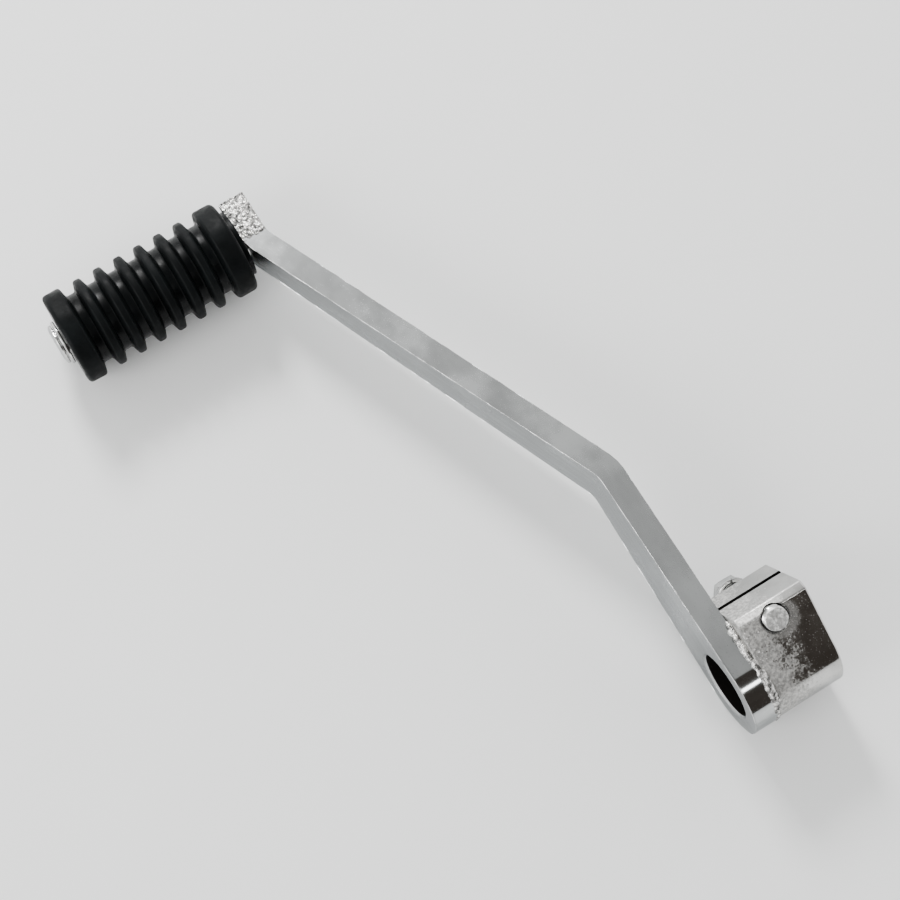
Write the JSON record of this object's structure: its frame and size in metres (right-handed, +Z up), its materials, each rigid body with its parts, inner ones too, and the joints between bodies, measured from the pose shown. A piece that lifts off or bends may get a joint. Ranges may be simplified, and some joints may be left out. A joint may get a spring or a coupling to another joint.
{
  "type": "gear shift lever",
  "caption": "Motorcycle gear shift lever: bent flat steel arm with a turning ribbed rubber toe peg and a split, splined clamp hub drawn together by a pinch bolt.",
  "frame": {"origin": "on the bore axis, at the clamp hub's inner end face", "axes": "+Y along the bore towards the engine, +X from the toe peg towards the hub, +Z up as the lever lies flat on its side"},
  "size_m": [0.1769, 0.1145, 0.0316],
  "materials": {
    "plated_steel": "satin bright plating with fine scratches and nicked edges",
    "weld_metal": "plated weld bead, lumpy and bright",
    "bright_steel": "bright plated steel",
    "black_rubber": "satin black moulded rubber"
  },
  "bodies": {
    "lever": {"shift_arm": "plated_steel", "clamp_hub": "plated_steel", "hub_weld": "weld_metal", "peg_pin": "bright_steel", "peg_weld": "weld_metal", "peg_washer": "bright_steel"},
    "toe_peg": {"toe_rubber": "black_rubber"},
    "washer": {"spring_washer": "bright_steel"},
    "bolt": {"pinch_bolt": "bright_steel"}
  },
  "joints": [
    {"name": "rubber_turn", "type": "hinge", "parent": "lever", "child": "toe_peg", "pos_m": [-0.1525, -0.06365, -0.0008], "axis": [0, -1, 0], "continuous": true},
    {"name": "washer_slide", "type": "slide", "parent": "lever", "child": "washer", "axis": [-0.4617, 0, -0.887], "range_m": [0, 0.003]},
    {"name": "bolt_turn", "type": "hinge", "parent": "washer", "child": "bolt", "pos_m": [-0.01127, -0.0096, 0.00586], "axis": [-0.4617, 0, -0.887], "range_deg": [0, 1080]}
  ],
  "couplings": [
    {"joint": "bolt_turn", "follows": "washer_slide", "rad_per_m": 6283.2}
  ]
}
